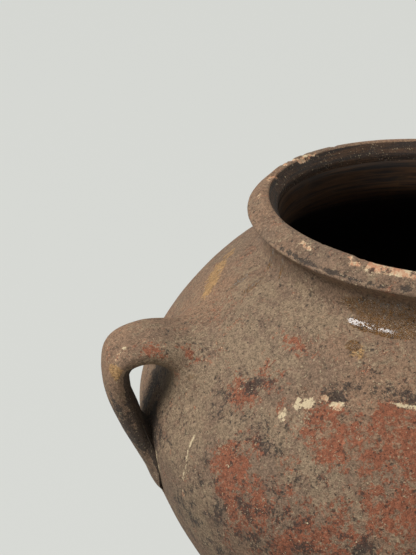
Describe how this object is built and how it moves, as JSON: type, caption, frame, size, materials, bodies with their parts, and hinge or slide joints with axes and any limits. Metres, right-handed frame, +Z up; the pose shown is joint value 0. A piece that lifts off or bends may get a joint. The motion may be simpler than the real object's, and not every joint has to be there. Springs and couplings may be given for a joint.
{
  "type": "olive jar",
  "caption": "Wide-mouthed, round-shouldered clay storage jar with an everted rim and strap handles on the shoulder.",
  "frame": {"origin": "centre of the foot ring, on the surface the jar stands on", "axes": "+Z up along the throwing axis, +X through the middle of the handles"},
  "size_m": [0.407, 0.3598, 0.345],
  "materials": {
    "clay_body": "weathered slip over red clay, matt",
    "clay_rim": "weathered slip, chipped to orange clay along the edges",
    "clay_handle": "weathered slip over red clay, matt",
    "glaze": "thin dark brown lead glaze, worn"
  },
  "bodies": {
    "root": {"floor_disc": "clay_body", "lower_wall": "clay_body", "shoulder_wall": "clay_body", "neck_coil": "clay_rim", "rim_coil": "clay_rim", "handle_left": "clay_handle", "handle_right": "clay_handle", "glaze_lining": "glaze"}
  },
  "joints": []
}
